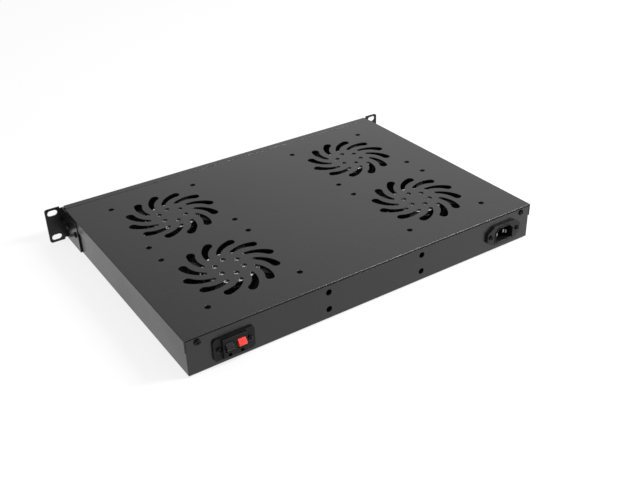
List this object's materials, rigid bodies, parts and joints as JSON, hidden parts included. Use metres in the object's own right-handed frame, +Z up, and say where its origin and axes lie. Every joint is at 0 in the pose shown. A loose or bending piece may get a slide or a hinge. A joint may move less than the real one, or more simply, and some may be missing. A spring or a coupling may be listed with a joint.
{
  "type": "rack fan tray",
  "caption": "Rack-mounted fan tray, one unit high: black steel case with swirl grilles over upright fans, mains inlet and sensor terminal at the rear.",
  "frame": {"origin": "middle of the four rack slots, in the plane of the rear faces of the ears, which seat on the rack rails", "axes": "+X to the left seen from behind, +Y from the front panel to the rear, +Z up"},
  "size_m": [0.4826, 0.3352, 0.0438],
  "materials": {
    "case_black": "satin black powder coat",
    "screw_black": "black oxide",
    "zinc_steel": "zinc plated",
    "inlet_plastic": "moulded",
    "pin_metal": "nickel plated",
    "terminal_plastic": "moulded",
    "lever_black_plastic": "moulded",
    "lever_red_plastic": "moulded",
    "stat_plastic": "moulded",
    "window_glass": "smoked window",
    "board_green": "circuit board",
    "key_rubber": "moulded",
    "switch_plastic": "moulded",
    "rocker_plastic": "moulded",
    "cable_black": "cable jacket",
    "probe_grey": "cable jacket",
    "label_silver": "foil label",
    "fan_frame_black": "black die-casting",
    "rotor_steel": "turned",
    "blade_black": "moulded",
    "core_steel": "laminated",
    "coil_copper": "enamelled wire"
  },
  "bodies": {
    "case": {"chassis": "case_black", "cover_screws": "screw_black", "ear_left": "case_black", "ear_right": "case_black", "ear_screws": "screw_black", "earth_stud": "zinc_steel", "fan_1_bearings": "rotor_steel", "fan_1_coils": "coil_copper", "fan_1_frame": "fan_frame_black", "fan_1_stator": "core_steel", "fan_2_bearings": "rotor_steel", "fan_2_coils": "coil_copper", "fan_2_frame": "fan_frame_black", "fan_2_stator": "core_steel", "fan_3_bearings": "rotor_steel", "fan_3_coils": "coil_copper", "fan_3_frame": "fan_frame_black", "fan_3_stator": "core_steel", "fan_4_bearings": "rotor_steel", "fan_4_coils": "coil_copper", "fan_4_frame": "fan_frame_black", "fan_4_stator": "core_steel", "fan_labels": "label_silver", "fan_leads": "cable_black", "fan_screws": "screw_black", "front_panel": "case_black", "inlet_body": "inlet_plastic", "inlet_nuts": "zinc_steel", "inlet_pins": "pin_metal", "inlet_screws": "screw_black", "lever_pin": "zinc_steel", "mains_cable": "cable_black", "panel_screws": "screw_black", "probe_lead": "probe_grey", "switch_body": "switch_plastic", "terminal_base": "terminal_plastic", "terminal_screws": "screw_black", "thermostat_board": "board_green", "thermostat_case": "stat_plastic", "thermostat_window": "window_glass", "top_cover": "case_black"},
    "fan_1_rotor": {"fan_1_rotor_cup": "rotor_steel", "fan_1_impeller": "blade_black", "fan_1_shaft": "rotor_steel"},
    "fan_2_rotor": {"fan_2_rotor_cup": "rotor_steel", "fan_2_impeller": "blade_black", "fan_2_shaft": "rotor_steel"},
    "fan_3_rotor": {"fan_3_rotor_cup": "rotor_steel", "fan_3_impeller": "blade_black", "fan_3_shaft": "rotor_steel"},
    "fan_4_rotor": {"fan_4_rotor_cup": "rotor_steel", "fan_4_impeller": "blade_black", "fan_4_shaft": "rotor_steel"},
    "lever_black": {"lever_black": "lever_black_plastic"},
    "lever_red": {"lever_red": "lever_red_plastic"},
    "key_set": {"key_set": "key_rubber"},
    "key_up": {"key_up": "key_rubber"},
    "key_down": {"key_down": "key_rubber"},
    "rocker": {"switch_rocker": "rocker_plastic"}
  },
  "joints": [
    {"name": "fan_1_spin", "type": "hinge", "parent": "case", "child": "fan_1_rotor", "pos_m": [0.1241, 0.0965, 0], "axis": [0, 0, 1], "continuous": true},
    {"name": "fan_2_spin", "type": "hinge", "parent": "case", "child": "fan_2_rotor", "pos_m": [-0.1241, 0.0965, 0], "axis": [0, 0, 1], "continuous": true},
    {"name": "fan_3_spin", "type": "hinge", "parent": "case", "child": "fan_3_rotor", "pos_m": [0.1241, 0.232, 0], "axis": [0, 0, 1], "continuous": true},
    {"name": "fan_4_spin", "type": "hinge", "parent": "case", "child": "fan_4_rotor", "pos_m": [-0.1241, 0.232, 0], "axis": [0, 0, 1], "continuous": true},
    {"name": "lever_black_press", "type": "hinge", "parent": "case", "child": "lever_black", "pos_m": [0.1766, 0.3165, 0.0005], "axis": [-1, 0, 0], "range_deg": [0, 12], "stiffness_Nm_per_rad": 0.05},
    {"name": "lever_red_press", "type": "hinge", "parent": "case", "child": "lever_red", "pos_m": [0.1634, 0.3165, 0.0005], "axis": [-1, 0, 0], "range_deg": [0, 12], "stiffness_Nm_per_rad": 0.05},
    {"name": "key_set_press", "type": "slide", "parent": "case", "child": "key_set", "axis": [0, 1, 0], "range_m": [0, 0.0007], "stiffness_N_per_m": 800},
    {"name": "key_up_press", "type": "slide", "parent": "case", "child": "key_up", "axis": [0, 1, 0], "range_m": [0, 0.0007], "stiffness_N_per_m": 800},
    {"name": "key_down_press", "type": "slide", "parent": "case", "child": "key_down", "axis": [0, 1, 0], "range_m": [0, 0.0007], "stiffness_N_per_m": 800},
    {"name": "rocker_tilt", "type": "hinge", "parent": "case", "child": "rocker", "pos_m": [-0.186, 0.0005, 0], "axis": [0, 0, 1], "range_deg": [0, 16]}
  ]
}
